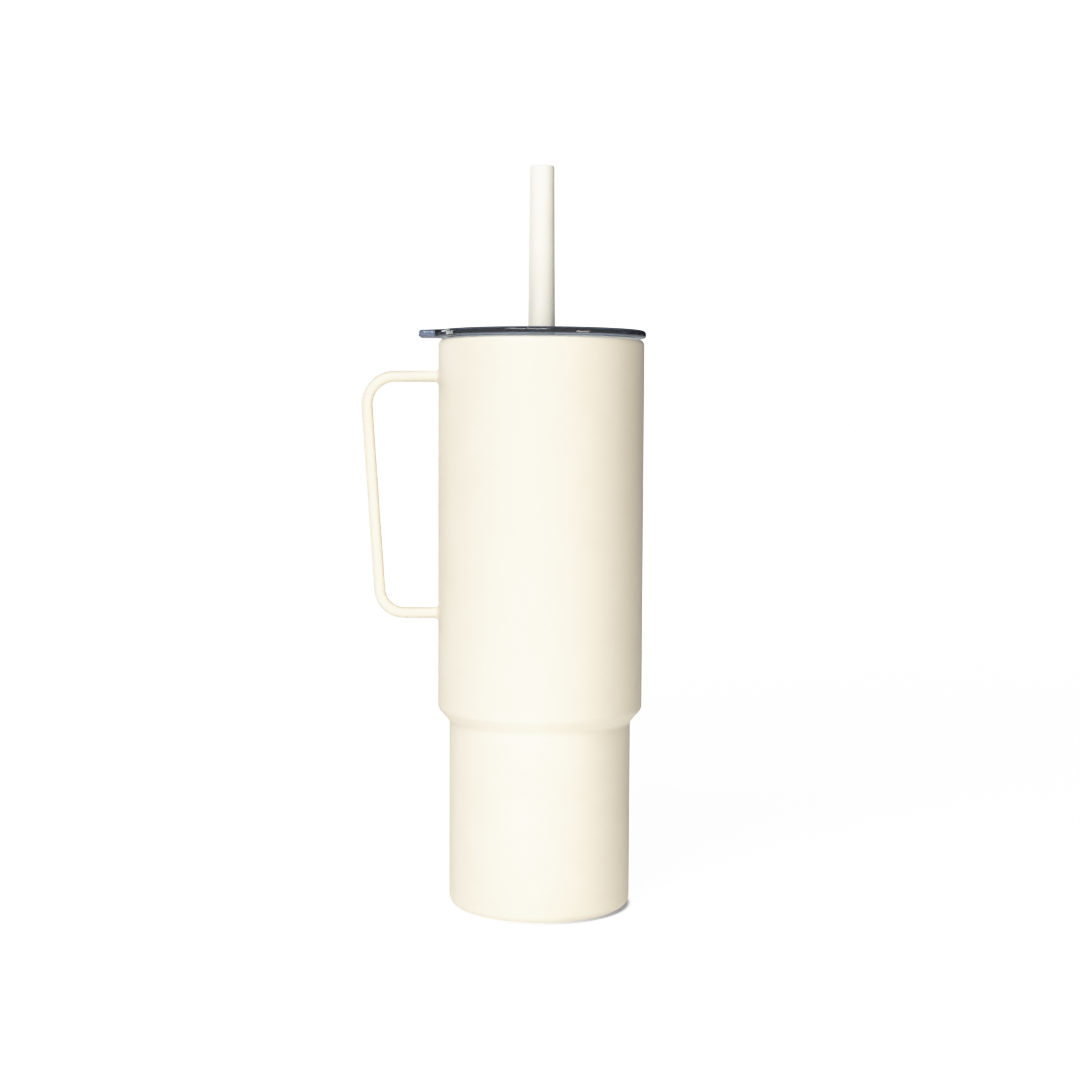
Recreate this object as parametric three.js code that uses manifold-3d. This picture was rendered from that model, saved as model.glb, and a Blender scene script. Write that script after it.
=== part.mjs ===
// Insulated straw tumbler: a double-walled steel vessel with a stepped barrel and a bent-rod handle,
// a clear press-in lid with a thumb tab and a silicone seal, and a two-piece straw.
// Millimetres, +Z up. The origin is on the vessel's axis in the plane that it stands on. The handle is at -X.
import * as THREE from "three";
import { mergeVertices } from "three/addons/utils/BufferGeometryUtils.js";
import Module from "manifold-3d";

// ---------------------------------------------------------------- driving dimensions

const gap = 0.3; // running and assembly clearance between neighbouring pieces
const roundSides = 48; // facets round the vessel and the lid
const smallSides = 24; // facets round the straw and other slim round pieces

const barrel = {
  lowerRadius: 38.5, // slim lower barrel, sized for a car cup holder
  upperRadius: 43.34,
  stepBottom: 78.8, // where the lower barrel starts to flare
  stepTop: 84.3, // where the flare reaches the upper barrel
  rimHeight: 240.4,
  baseFillet: 4,
  shoulderRadius: 3,
};
const shellWall = 0.8; // coated outer wall
const linerWall = 0.6;
const vacuumGap = 2.84; // from the outer wall's inside to the liner's outside
const foilWall = 0.15;
const foilInset = 10; // bare liner above and below the foil

const curlWidth = 2; // flat standing ring, inside the base fillet
const outerBase = { wall: 0.8, dimpleRadius: 6, dimpleTop: 3, dimpleRise: 2, portRadius: 0.8 };
const coverWall = 0.5;
const coverRecess = 0.35; // the cover stands off the table
const floorDrop = 6.1; // from the outer base's upper face to the liner's floor disc
const getter = { radius: 4, height: 2, offset: 20, strapWidth: 3, strapWall: 0.4, footLength: 2.5 };
const sealBead = { radius: 2, height: 1.1 };

const handle = {
  rodRadius: 2.4,
  rimDrop: 16, // from the rim down to the upper arm's centre line
  armSpan: 100.1, // between the two arms' centre lines
  reachTop: 31.1, // from the barrel to the grip's centre line, at the upper arm
  lean: THREE.MathUtils.degToRad(3.9), // the grip comes in towards the foot
  upperBend: 12,
  lowerBend: 10.5,
  weldSpread: 1.3, // how far the weld fillet spreads over the rod and over the barrel
  sides: 12,
};

const lid = {
  overhang: 0.66, // beyond the barrel
  thickness: 3,
  edgeChamfer: 0.7,
  tabReach: 7.4, // beyond the disc
  tabWidth: 18,
  tabCorner: 3,
  tabFillet: 2.5, // where the tab's sides meet the disc
  rimWidth: 6.5, // from the disc's edge in to the dish
  dishDepth: 0.8,
  skirtWall: 2.2,
  skirtInset: 1.2, // from the liner's inside to the skirt's outside
  skirtDepth: 12,
  grooveTop: 3.4, // below the plate
  grooveHeight: 5,
  grooveDepth: 0.9,
  collarWall: 2.2,
  collarDepth: 5.5,
  ventRadius: 1,
  ventOffset: 24,
};

const straw = {
  tipRadius: 5.1,
  tipHeight: 68.7, // above the lid
  draft: 0.008, // how much the mouthpiece's radius grows for each millimetre down
  boreRadius: 3.6,
  mouthpieceTail: 13, // from the collar down to the mouthpiece's lower end
  flangeWidth: 1.78, // beyond the mouthpiece's own radius
  flangeHeight: 3,
  socketDepth: 16,
  tubeRadius: 4,
  tubeWall: 0.8,
  notchWidth: 3,
  notchHeight: 4,
};

// ---------------------------------------------------------------- heights and radii that follow

const linerOffset = shellWall + vacuumGap;
const linerInside = barrel.upperRadius - linerOffset - linerWall;
const lowerLinerInside = barrel.lowerRadius - linerOffset - linerWall;
const baseBottom = shellWall + gap;
const baseTop = baseBottom + outerBase.wall;
const floorBottom = baseTop + floorDrop;
const floorTop = floorBottom + linerWall;
const plateBottom = barrel.rimHeight + gap;
const plateTop = plateBottom + lid.thickness;
const skirtRadius = linerInside - lid.skirtInset;
const strawTop = plateTop + straw.tipHeight;
const lidRadius = barrel.upperRadius + lid.overhang;
const collarBottom = plateBottom - lid.collarDepth;
const mouthpieceBottom = collarBottom - straw.mouthpieceTail;
const mouthpieceRadiusAt = (z) => straw.tipRadius + straw.draft * (strawTop - z);
const strawHole = mouthpieceRadiusAt(mouthpieceBottom) + gap;
const upperArm = barrel.rimHeight - handle.rimDrop;
const lowerArm = upperArm - handle.armSpan;

// ---------------------------------------------------------------- materials

const finish = (color, roughness, metalness) =>
  new THREE.MeshStandardMaterial({ color, roughness, metalness });
const powderCoat = finish(0xefe6d4, 0.55, 0);
const bareSteel = finish(0xb9bbbd, 0.32, 1);
const copperFoil = finish(0xc07a52, 0.35, 1);
const getterAlloy = finish(0x5d5b58, 0.8, 0.6);
const sealGlass = finish(0x6b5236, 0.25, 0);
const smokedPlastic = new THREE.MeshStandardMaterial({
  color: 0x4a5566,
  roughness: 0.08,
  transparent: true,
  opacity: 0.5,
});
const creamSilicone = finish(0xf0e9da, 0.6, 0);
const clearSilicone = finish(0xe4e6e4, 0.45, 0);
const frostedTube = finish(0xe8e2d2, 0.4, 0);

// ---------------------------------------------------------------- solids

const wasm = await Module();
wasm.setup();

/** A three.js geometry as a closed solid. */
function solidOf(geometry) {
  const bare = geometry.clone();
  bare.deleteAttribute("normal");
  bare.deleteAttribute("uv");
  const merged = mergeVertices(bare, 1e-4);
  return new wasm.Manifold(
    new wasm.Mesh({
      numProp: 3,
      vertProperties: merged.attributes.position.array,
      triVerts: new Uint32Array(merged.index.array),
    }),
  );
}

/** A solid's triangles as a three.js geometry. */
function geometryOf(solid) {
  const mesh = solid.getMesh();
  const geometry = new THREE.BufferGeometry();
  geometry.setAttribute("position", new THREE.BufferAttribute(mesh.vertProperties, 3));
  geometry.setIndex(new THREE.BufferAttribute(mesh.triVerts, 1));
  geometry.computeVertexNormals();
  return geometry;
}

/** Revolves a profile of [radius, height] points about Z. A hollow profile closes on itself. */
function turned(profile, sides = roundSides) {
  const points = profile.map(([radius, height]) => new THREE.Vector2(radius, height));
  if (profile[0][0] > 0) points.push(points[0].clone());
  return new THREE.LatheGeometry(points, sides).rotateX(Math.PI / 2);
}

/** A plain upright cylinder between two heights. */
function post(radius, bottom, top, sides = smallSides) {
  const height = top - bottom;
  return new THREE.CylinderGeometry(radius, radius, height, sides)
    .rotateX(Math.PI / 2)
    .translate(0, 0, bottom + height / 2);
}

/** A box from its lowest to its highest corner. */
function block([x0, y0, z0], [x1, y1, z1]) {
  return new THREE.BoxGeometry(x1 - x0, y1 - y0, z1 - z0).translate(
    (x0 + x1) / 2,
    (y0 + y1) / 2,
    (z0 + z1) / 2,
  );
}

/** Points on an arc, from one angle to another in degrees, both ends included. */
function arc(centreX, centreY, radius, from, to, steps) {
  return Array.from({ length: steps + 1 }, (_, i) => {
    const angle = THREE.MathUtils.degToRad(from + ((to - from) * i) / steps);
    return [centreX + radius * Math.cos(angle), centreY + radius * Math.sin(angle)];
  });
}

/** The stepped barrel's two corners, moved inwards by an offset that keeps the wall's thickness. */
function stepCorners(offset) {
  const flare = Math.atan2(
    barrel.upperRadius - barrel.lowerRadius,
    barrel.stepTop - barrel.stepBottom,
  );
  const lift = offset * Math.tan(flare / 2);
  return [
    [barrel.lowerRadius - offset, barrel.stepBottom + lift],
    [barrel.upperRadius - offset, barrel.stepTop + lift],
  ];
}

const group = new THREE.Group();

/** Adds one named piece to the object. */
function piece(name, geometry, material) {
  const mesh = new THREE.Mesh(geometry, material);
  mesh.name = name;
  group.add(mesh);
}

// ---------------------------------------------------------------- vessel

/** Coated outer wall: curled foot, slim barrel, step, wide barrel and rounded shoulder. */
function outerShell() {
  const { lowerRadius, upperRadius, baseFillet, shoulderRadius, rimHeight } = barrel;
  const footRadius = lowerRadius - baseFillet;
  const shoulder = upperRadius - shoulderRadius;
  const shoulderHeight = rimHeight - shoulderRadius;
  return turned([
    [footRadius - curlWidth, 0],
    ...arc(footRadius, baseFillet, baseFillet, -90, 0, 4),
    ...stepCorners(0),
    ...arc(shoulder, shoulderHeight, shoulderRadius, 0, 90, 3),
    ...arc(shoulder, shoulderHeight, shoulderRadius - shellWall, 90, 0, 3),
    ...stepCorners(shellWall).toReversed(),
    ...arc(footRadius, baseFillet, baseFillet - shellWall, 0, -90, 3),
    [footRadius - curlWidth, shellWall],
  ]);
}

/** Bare steel inner wall, with a lip that closes the rim against the shell. */
function innerLiner() {
  const lipRadius = barrel.upperRadius - barrel.shoulderRadius - gap;
  const lipHeight = 2 * linerWall;
  const outer = stepCorners(linerOffset);
  const inner = stepCorners(linerOffset + linerWall);
  return turned([
    [outer[0][0], floorBottom],
    ...outer,
    [outer[1][0], barrel.rimHeight - lipHeight - linerWall],
    [lipRadius, barrel.rimHeight - lipHeight],
    [lipRadius, barrel.rimHeight],
    [inner[1][0], barrel.rimHeight],
    ...inner.toReversed(),
    [inner[0][0], floorBottom],
  ]);
}

/** A flat disc that closes the liner. */
const innerBase = () => post(lowerLinerInside - gap, floorBottom, floorTop, roundSides);

/** Thin reflective sleeve round the liner, in the vacuum. */
function foilWrap() {
  const inner = stepCorners(linerOffset - gap);
  const outer = stepCorners(linerOffset - gap - foilWall);
  const bottom = floorTop + foilInset;
  const top = barrel.rimHeight - foilInset;
  return turned([
    [outer[0][0], bottom],
    ...outer,
    [outer[1][0], top],
    [inner[1][0], top],
    ...inner.toReversed(),
    [inner[0][0], bottom],
  ]);
}

/** Structural bottom disc, with a raised dimple and the port that the vessel is evacuated through. */
function outerBaseDisc() {
  const radius = barrel.lowerRadius - barrel.baseFillet - gap;
  const { wall, dimpleRadius, dimpleTop, dimpleRise, portRadius } = outerBase;
  return turned([
    [portRadius, baseBottom + dimpleRise],
    [dimpleTop, baseBottom + dimpleRise],
    [dimpleRadius, baseBottom],
    [radius, baseBottom],
    [radius, baseTop],
    [dimpleRadius, baseTop],
    [dimpleTop, baseTop + dimpleRise],
    [portRadius, baseTop + dimpleRise],
  ]);
}

/** The bead that plugs the port, under the dimple. */
function vacuumSeal() {
  const top = baseBottom + outerBase.dimpleRise - gap;
  return post(sealBead.radius, top - sealBead.height, top);
}

/** Flat steel cover that hides the port. */
function baseCover() {
  const radius = barrel.lowerRadius - barrel.baseFillet - curlWidth - gap;
  return post(radius, coverRecess, coverRecess + coverWall, roundSides);
}

/** Gas-absorbing pellet that keeps the vacuum. */
function getterPellet() {
  return post(getter.radius, baseTop + gap, baseTop + gap + getter.height).translate(
    getter.offset,
    0,
    0,
  );
}

/** Hat-shaped strap that holds the pellet to the base. */
function getterStrap() {
  const { radius, height, offset, strapWidth, strapWall, footLength } = getter;
  const legInside = radius + gap;
  const footTop = baseTop + gap + strapWall;
  const strapTop = baseTop + 2 * gap + height + strapWall;
  const half = strapWidth / 2;
  const leg = (side) => {
    const near = side * legInside;
    const far = side * (legInside + strapWall);
    const toe = side * (legInside + footLength);
    return solidOf(
      block(
        [offset - half, Math.min(near, far), baseTop + gap],
        [offset + half, Math.max(near, far), strapTop],
      ),
    ).add(
      solidOf(
        block(
          [offset - half, Math.min(near, toe), baseTop + gap],
          [offset + half, Math.max(near, toe), footTop],
        ),
      ),
    );
  };
  const bridge = solidOf(
    block(
      [offset - half, -legInside - strapWall, strapTop - strapWall],
      [offset + half, legInside + strapWall, strapTop],
    ),
  );
  return geometryOf(bridge.add(leg(1)).add(leg(-1)));
}

// ---------------------------------------------------------------- handle

/** A straight stretch of the rod's centre line. */
const straight = (from, to) => new THREE.LineCurve3(from, to);

/** A circular bend in the XZ plane, from one angle to another. */
class Bend extends THREE.Curve {
  constructor(centre, radius, from, to) {
    super();
    Object.assign(this, { centre, radius, from, to });
  }

  getPoint(t, target = new THREE.Vector3()) {
    const angle = this.from + (this.to - this.from) * t;
    return target.set(
      this.centre.x + this.radius * Math.cos(angle),
      0,
      this.centre.z + this.radius * Math.sin(angle),
    );
  }
}

/** The rod's centre line: out from the barrel, down the leaning grip and back in. */
function handlePath() {
  const { reachTop, lean, upperBend, lowerBend } = handle;
  const start = -(barrel.upperRadius + gap);
  const gripAt = (z) => -(barrel.upperRadius + reachTop) + (upperArm - z) * Math.tan(lean);
  const upperZ = upperArm - upperBend;
  const lowerZ = lowerArm + lowerBend;
  const upperCentre = new THREE.Vector3(gripAt(upperZ) + upperBend / Math.cos(lean), 0, upperZ);
  const lowerCentre = new THREE.Vector3(gripAt(lowerZ) + lowerBend / Math.cos(lean), 0, lowerZ);
  const gripAngle = Math.PI + lean;
  const upper = new Bend(upperCentre, upperBend, Math.PI / 2, gripAngle);
  const lower = new Bend(lowerCentre, lowerBend, gripAngle, 1.5 * Math.PI);
  const path = new THREE.CurvePath();
  path.add(straight(new THREE.Vector3(start, 0, upperArm), upper.getPoint(0)));
  path.add(upper);
  path.add(straight(upper.getPoint(1), lower.getPoint(0)));
  path.add(lower);
  path.add(straight(lower.getPoint(1), new THREE.Vector3(start, 0, lowerArm)));
  return path;
}

/** The bent rod, swept piece by piece so that straights need only one step. */
function handleRod() {
  const bendSteps = 8;
  const stations = handlePath().curves.flatMap((curve, i) => {
    const steps = curve instanceof Bend ? bendSteps : 1;
    return Array.from({ length: steps + (i === 4 ? 1 : 0) }, (_, k) => ({
      at: curve.getPoint(k / steps),
      along: curve.getTangent(Math.min(Math.max(k / steps, 1e-4), 1 - 1e-4)),
    }));
  });
  const count = handle.sides;
  const positions = stations.flatMap(({ at, along }) =>
    Array.from({ length: count }, (_, k) => {
      const angle = (2 * Math.PI * k) / count;
      const outward = new THREE.Vector3(-along.z, 0, along.x).multiplyScalar(Math.cos(angle));
      return at
        .clone()
        .add(outward.add(new THREE.Vector3(0, Math.sin(angle), 0)).multiplyScalar(handle.rodRadius))
        .toArray();
    }),
  );
  const faces = [];
  for (let s = 0; s < stations.length - 1; s++)
    for (let k = 0; k < count; k++) {
      const a = s * count + k;
      const b = s * count + ((k + 1) % count);
      faces.push(a, b + count, b, a, a + count, b + count);
    }
  const last = (stations.length - 1) * count;
  for (let k = 1; k < count - 1; k++) {
    faces.push(0, k, k + 1);
    faces.push(last, last + k + 1, last + k);
  }
  const geometry = new THREE.BufferGeometry();
  geometry.setAttribute("position", new THREE.Float32BufferAttribute(positions.flat(), 3));
  geometry.setIndex(faces);
  geometry.computeVertexNormals();
  return geometry;
}

/** A weld fillet round one end of the rod, coped to the barrel. */
function weldFillet(height) {
  const inner = handle.rodRadius + gap;
  const spread = handle.weldSpread;
  const cope = barrel.upperRadius - Math.sqrt(barrel.upperRadius ** 2 - (inner + spread) ** 2);
  const ring = turned(
    [
      [inner, -cope - gap],
      [inner + spread, -cope - gap],
      [inner + spread, gap],
      [inner + spread / 3, gap + spread / 3],
      [inner, gap + spread],
    ],
    smallSides,
  )
    .rotateY(-Math.PI / 2)
    .translate(-barrel.upperRadius, 0, height);
  const keepOut = post(
    barrel.upperRadius + gap,
    height - 2 * (inner + spread),
    height + 2 * (inner + spread),
    roundSides,
  );
  return geometryOf(solidOf(ring).subtract(solidOf(keepOut)));
}

// ---------------------------------------------------------------- lid

/** The plate's outline: a disc with a straight-sided tab at -X, blended in by small hollow fillets. */
function lidOutline(inset = 0) {
  const { tabReach, tabWidth, tabCorner, tabFillet } = lid;
  const filletY = tabWidth / 2 + tabFillet;
  const filletX = Math.sqrt((lidRadius + tabFillet) ** 2 - filletY ** 2);
  const cornerX = lidRadius + tabReach - tabCorner;
  const cornerY = tabWidth / 2 - tabCorner;
  const discAngle = THREE.MathUtils.radToDeg(Math.atan2(filletY, filletX));
  const discSteps = Math.round(((360 - 2 * discAngle) / 360) * roundSides);
  const corner = tabCorner - inset;
  const hollow = tabFillet + inset;
  return [
    ...arc(0, 0, lidRadius - inset, -180 + discAngle, 180 - discAngle, discSteps).slice(0, -1),
    ...arc(-filletX, filletY, hollow, -discAngle, -90, 3),
    ...arc(-cornerX, cornerY, corner, 90, 180, 4),
    ...arc(-cornerX, -cornerY, corner, 180, 270, 4),
    ...arc(-filletX, -filletY, hollow, 90, discAngle, 3).slice(0, -1),
  ];
}

/** The outline extruded upwards. */
function lidSlab(inset, bottom, top) {
  const shape = new THREE.Shape(lidOutline(inset).map(([x, y]) => new THREE.Vector2(x, y)));
  return new THREE.ExtrudeGeometry(shape, {
    depth: top - bottom,
    bevelEnabled: false,
    steps: 1,
  }).translate(0, 0, bottom);
}

/** Clear plate with its tab, dish, plug skirt, seal groove, straw collar and vent. */
function lidPlate() {
  const { edgeChamfer, rimWidth, dishDepth, skirtWall, skirtDepth } = lid;
  const { grooveTop, grooveHeight, grooveDepth, collarWall, ventRadius, ventOffset } = lid;
  const rim = edgeChamfer / 2;
  const slabs = [
    lidSlab(0, plateBottom + edgeChamfer, plateTop - edgeChamfer),
    lidSlab(rim, plateBottom, plateTop),
  ].map(solidOf);
  const skirtBottom = plateBottom - skirtDepth;
  const skirt = turned([
    [skirtRadius - skirtWall, skirtBottom],
    [skirtRadius, skirtBottom],
    [skirtRadius, plateBottom - grooveTop - grooveHeight],
    [skirtRadius - grooveDepth, plateBottom - grooveTop - grooveHeight],
    [skirtRadius - grooveDepth, plateBottom - grooveTop],
    [skirtRadius, plateBottom - grooveTop],
    [skirtRadius, plateBottom + rim],
    [skirtRadius - skirtWall, plateBottom + rim],
  ]);
  const collar = turned(
    [
      [strawHole, collarBottom],
      [strawHole + collarWall, collarBottom],
      [strawHole + collarWall, plateBottom + rim],
      [strawHole, plateBottom + rim],
    ],
    smallSides,
  );
  const dish = post(lidRadius - rimWidth, plateTop - dishDepth, plateTop + 1, roundSides);
  const hole = post(strawHole, collarBottom - 1, plateTop + 1);
  const vent = post(ventRadius, plateBottom - 1, plateTop + 1, 12).translate(ventOffset, 0, 0);
  const cuts = [dish, hole, vent].map(solidOf);
  const body = [...slabs, solidOf(skirt), solidOf(collar)].reduce((a, b) => a.add(b));
  return geometryOf(cuts.reduce((a, b) => a.subtract(b), body));
}

/** Silicone seal in the skirt's groove, with two lips that wipe the liner. */
function lidGasket() {
  const inner = skirtRadius - lid.grooveDepth + gap;
  const web = skirtRadius + gap;
  const lip = linerInside - gap;
  const top = plateBottom - lid.grooveTop - gap;
  const bottom = top - lid.grooveHeight + 2 * gap;
  const lipHeight = (top - bottom) / 4;
  return turned([
    [inner, bottom],
    [web, bottom],
    [lip, bottom + lipHeight],
    [web, bottom + 2 * lipHeight],
    [lip, top - lipHeight],
    [web, top],
    [inner, top],
  ]);
}

// ---------------------------------------------------------------- straw

/** Soft drinking end: tapered above the lid, with a stop flange and a socket below it. */
function strawMouthpiece() {
  const socketRadius = straw.tubeRadius + gap;
  const socketTop = mouthpieceBottom + straw.socketDepth;
  const flangeTop = mouthpieceBottom + straw.flangeHeight;
  const flangeRadius = mouthpieceRadiusAt(mouthpieceBottom) + straw.flangeWidth;
  const lipRound = 0.8;
  return turned(
    [
      [socketRadius, mouthpieceBottom],
      [flangeRadius, mouthpieceBottom],
      [flangeRadius, flangeTop],
      [mouthpieceRadiusAt(flangeTop), flangeTop],
      [straw.tipRadius, strawTop - lipRound],
      [straw.tipRadius - lipRound / 2, strawTop],
      [straw.boreRadius, strawTop],
      [straw.boreRadius, socketTop],
      [socketRadius, socketTop],
    ],
    smallSides,
  );
}

/** Stiff lower tube, notched at the foot so that it draws from the floor. */
function strawTube() {
  const bottom = floorTop + gap;
  const top = mouthpieceBottom + straw.socketDepth - gap;
  const bore = straw.tubeRadius - straw.tubeWall;
  const tube = turned(
    [
      [bore, bottom],
      [straw.tubeRadius, bottom],
      [straw.tubeRadius, top],
      [bore, top],
    ],
    smallSides,
  );
  const reach = 2 * straw.tubeRadius;
  const half = straw.notchWidth / 2;
  const notch = block([-half, -reach, bottom - 1], [half, reach, bottom + straw.notchHeight]);
  return geometryOf(solidOf(tube).subtract(solidOf(notch)));
}

// ---------------------------------------------------------------- assembly

piece("outer_shell", outerShell(), powderCoat);
piece("inner_liner", innerLiner(), bareSteel);
piece("inner_base", innerBase(), bareSteel);
piece("foil_wrap", foilWrap(), copperFoil);
piece("outer_base", outerBaseDisc(), bareSteel);
piece("vacuum_seal", vacuumSeal(), sealGlass);
piece("getter_pellet", getterPellet(), getterAlloy);
piece("getter_strap", getterStrap(), bareSteel);
piece("base_cover", baseCover(), bareSteel);
piece("handle_rod", handleRod(), powderCoat);
piece("upper_weld", weldFillet(upperArm), powderCoat);
piece("lower_weld", weldFillet(lowerArm), powderCoat);
piece("lid_plate", lidPlate(), smokedPlastic);
piece("lid_gasket", lidGasket(), clearSilicone);
piece("straw_mouthpiece", strawMouthpiece(), creamSilicone);
piece("straw_tube", strawTube(), frostedTube);

export default group;
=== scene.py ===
"""Looks of an insulated straw tumbler, built round its fixed CAD frame.

The vessel, the handle, the lid and the straw are each a class that holds its sizes in millimetres, builds
its meshes with Blender's modelling operators and dresses them. Heights and radii that the frame knows are
read from it. Lengths are turned to metres only where an operator needs them. The axis is Z and the handle is
at -X.
"""

from __future__ import annotations

import logging
import math
from dataclasses import dataclass, field
from enum import Enum
from typing import Callable, Sequence

import bpy
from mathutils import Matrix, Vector


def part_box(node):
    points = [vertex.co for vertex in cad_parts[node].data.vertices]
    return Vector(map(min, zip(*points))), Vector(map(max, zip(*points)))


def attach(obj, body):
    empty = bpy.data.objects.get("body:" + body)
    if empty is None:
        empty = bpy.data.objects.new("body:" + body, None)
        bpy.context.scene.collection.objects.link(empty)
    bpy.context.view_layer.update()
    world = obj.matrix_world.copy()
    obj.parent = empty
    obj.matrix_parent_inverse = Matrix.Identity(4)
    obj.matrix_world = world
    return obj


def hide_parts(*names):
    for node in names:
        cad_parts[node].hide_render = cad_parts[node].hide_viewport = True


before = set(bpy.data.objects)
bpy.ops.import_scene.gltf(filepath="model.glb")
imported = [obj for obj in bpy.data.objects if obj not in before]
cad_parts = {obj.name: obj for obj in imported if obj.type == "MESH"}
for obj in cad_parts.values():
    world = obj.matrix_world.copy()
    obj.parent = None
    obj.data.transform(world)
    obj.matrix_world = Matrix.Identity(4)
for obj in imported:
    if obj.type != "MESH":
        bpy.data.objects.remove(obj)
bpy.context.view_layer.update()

MM = 0.001
TURN = 2 * math.pi
WELD_DISTANCE = 1e-6
TOUCH = 1e-3
ORIGIN = Vector((0, 0, 0)).freeze()
UP = Vector((0, 0, 1)).freeze()
WHITE = (1.0, 1.0, 1.0, 1.0)
NOISE_SPAN = (0.35, 0.65)
WIDE_NOISE_SPAN = (0.3, 0.7)
Rgb = tuple[float, float, float]
Test = Callable[[Vector], bool]
log = logging.getLogger("tumbler")


class Body(str, Enum):
    """The bodies that move against each other."""

    VESSEL = "vessel"
    SEAL = "lid_seal"
    LID = "lid"
    STRAW = "straw"


class Slot(str, Enum):
    """The finishes that the object's record names."""

    COAT = "powder_coat"
    STEEL = "bare_steel"
    FOIL = "copper_foil"
    GETTER = "getter_alloy"
    BEAD = "seal_glass"
    LID = "smoked_plastic"
    SEAL = "clear_silicone"
    MOUTH = "cream_silicone"
    TUBE = "frosted_tube"


# ------------------------------------------------------------ frame sizes


@dataclass(frozen=True)
class Extent:
    """A frame node's lowest and highest corner, in millimetres."""

    low: Vector
    high: Vector

    @classmethod
    def of(cls, node: str) -> "Extent":
        """Measures one node.

        Args:
            node: the frame node's name.

        Returns:
            Its corners at rest.
        """
        low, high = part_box(node)
        return cls(low / MM, high / MM)


# ------------------------------------------------------------ modelling bench


@dataclass(frozen=True)
class Corner:
    """One corner of a turned piece's section.

    Attributes:
        radius: distance from the axis, in millimetres.
        height: height along the axis, in millimetres.
        round: radius of the fillet that takes the corner off, or 0 for a sharp one.
        steps: edges in that fillet.
    """

    radius: float
    height: float
    round: float = 0.0
    steps: int = 4


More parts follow.
